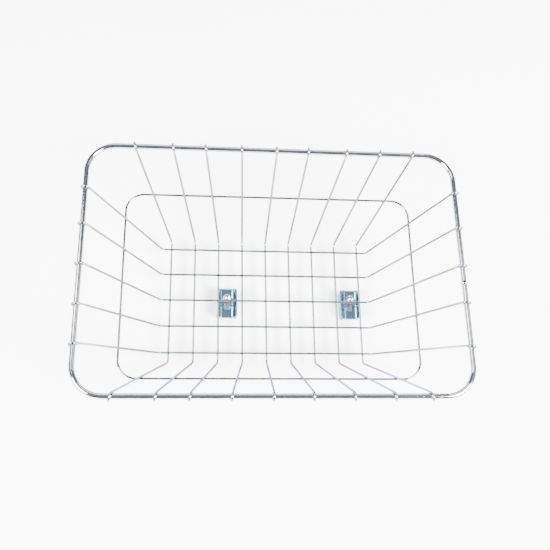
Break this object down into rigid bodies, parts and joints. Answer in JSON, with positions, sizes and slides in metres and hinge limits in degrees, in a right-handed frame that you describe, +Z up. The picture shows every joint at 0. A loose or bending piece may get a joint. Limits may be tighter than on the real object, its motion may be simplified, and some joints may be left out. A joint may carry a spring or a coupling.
{
  "type": "wire bicycle basket",
  "caption": "Open-topped basket of bent, welded and zinc-plated steel wire with a thick rounded rim, a middle hoop, sloping walls and screw clamps under its base.",
  "frame": {"origin": "on the ground under the middle of the basket, which stands on the lips of its two clamp keepers", "axes": "+X along the basket's long side, to the right seen from the front; +Y to the back; +Z up"},
  "size_m": [0.3865, 0.2648, 0.1375],
  "materials": {
    "rim_zinc": "bright zinc plate, drawn wire",
    "wire_zinc": "bright zinc plate with a yellow to violet passivation tint",
    "plate_zinc": "blue-bright zinc plate on pressed sheet",
    "fastener_zinc": "bright zinc plate"
  },
  "bodies": {
    "basket": {"rim_wire": "rim_zinc", "mid_hoop": "wire_zinc", "cross_wire_1": "wire_zinc", "cross_wire_2": "wire_zinc", "cross_wire_3": "wire_zinc", "cross_wire_4": "wire_zinc", "cross_wire_5": "wire_zinc", "cross_wire_6": "wire_zinc", "cross_wire_7": "wire_zinc", "cross_wire_8": "wire_zinc", "cross_wire_9": "wire_zinc", "long_wire_1": "wire_zinc", "long_wire_2": "wire_zinc", "long_wire_3": "wire_zinc", "long_wire_4": "wire_zinc", "long_wire_5": "wire_zinc", "left_clamp_bracket": "plate_zinc", "right_clamp_bracket": "plate_zinc", "left_clamp_washer": "fastener_zinc", "right_clamp_washer": "fastener_zinc"},
    "left_nut": {"left_clamp_nut": "fastener_zinc"},
    "left_keeper": {"left_clamp_keeper": "plate_zinc", "left_clamp_screw": "fastener_zinc"},
    "right_nut": {"right_clamp_nut": "fastener_zinc"},
    "right_keeper": {"right_clamp_keeper": "plate_zinc", "right_clamp_screw": "fastener_zinc"}
  },
  "joints": [
    {"name": "left_nut_turn", "type": "hinge", "parent": "basket", "child": "left_nut", "pos_m": [-0.0437, 0.0049, 0.0123], "axis": [0, 0, 1], "range_deg": [0, 2700]},
    {"name": "left_clamp_open", "type": "slide", "parent": "basket", "child": "left_keeper", "axis": [0, 0, -1], "range_m": [0, 0.006]},
    {"name": "right_nut_turn", "type": "hinge", "parent": "basket", "child": "right_nut", "pos_m": [0.0973, 0.0049, 0.0123], "axis": [0, 0, 1], "range_deg": [0, 2700]},
    {"name": "right_clamp_open", "type": "slide", "parent": "basket", "child": "right_keeper", "axis": [0, 0, -1], "range_m": [0, 0.006]}
  ],
  "couplings": [
    {"joint": "left_nut_turn", "follows": "left_clamp_open", "rad_per_m": 7853.9},
    {"joint": "right_nut_turn", "follows": "right_clamp_open", "rad_per_m": 7853.9}
  ]
}
